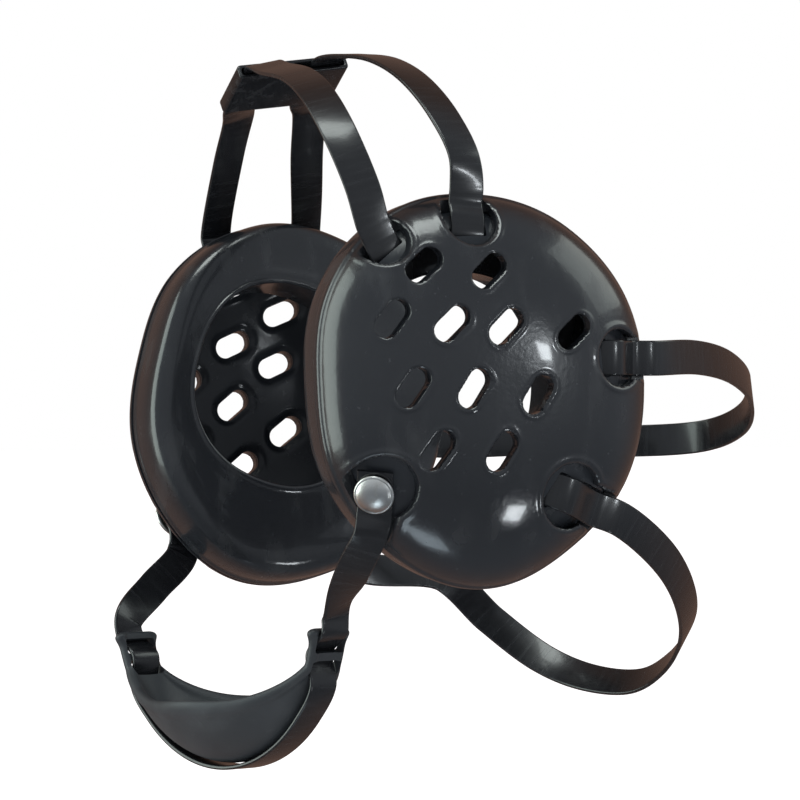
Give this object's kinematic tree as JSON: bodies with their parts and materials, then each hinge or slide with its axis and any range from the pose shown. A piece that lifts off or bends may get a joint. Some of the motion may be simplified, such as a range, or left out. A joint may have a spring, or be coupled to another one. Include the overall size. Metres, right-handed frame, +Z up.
{
  "type": "wrestling ear guard",
  "caption": "Wrestling ear guard: vented padded ear cups with ring cushions, joined by crown, nape and chin straps, with a rubber chin cup.",
  "frame": {"origin": "the crown seat: the place on top of the head where the crown straps lie, midway between the ear cups, at the straps' underside", "axes": "+Z up, -Y to the wearer's face, +X to the wearer's left ear"},
  "size_m": [0.1714, 0.1976, 0.2135],
  "materials": {
    "vinyl": "glossy black coating over foam",
    "shell": "glossy black hard plastic",
    "strap": "glossy black flexible plastic",
    "rubber": "matt dark slate",
    "nickel": "satin"
  },
  "bodies": {
    "root": {"left_cover": "vinyl", "right_cover": "vinyl", "left_ring": "vinyl", "right_ring": "vinyl", "left_shell": "shell", "right_shell": "shell", "left_snap": "nickel", "right_snap": "nickel", "crown_strap_front": "strap", "crown_strap_rear": "strap", "nape_strap_upper": "strap", "nape_strap_lower": "strap", "chin_strap": "strap", "crown_spacer": "strap", "chin_cup": "rubber"}
  },
  "joints": []
}
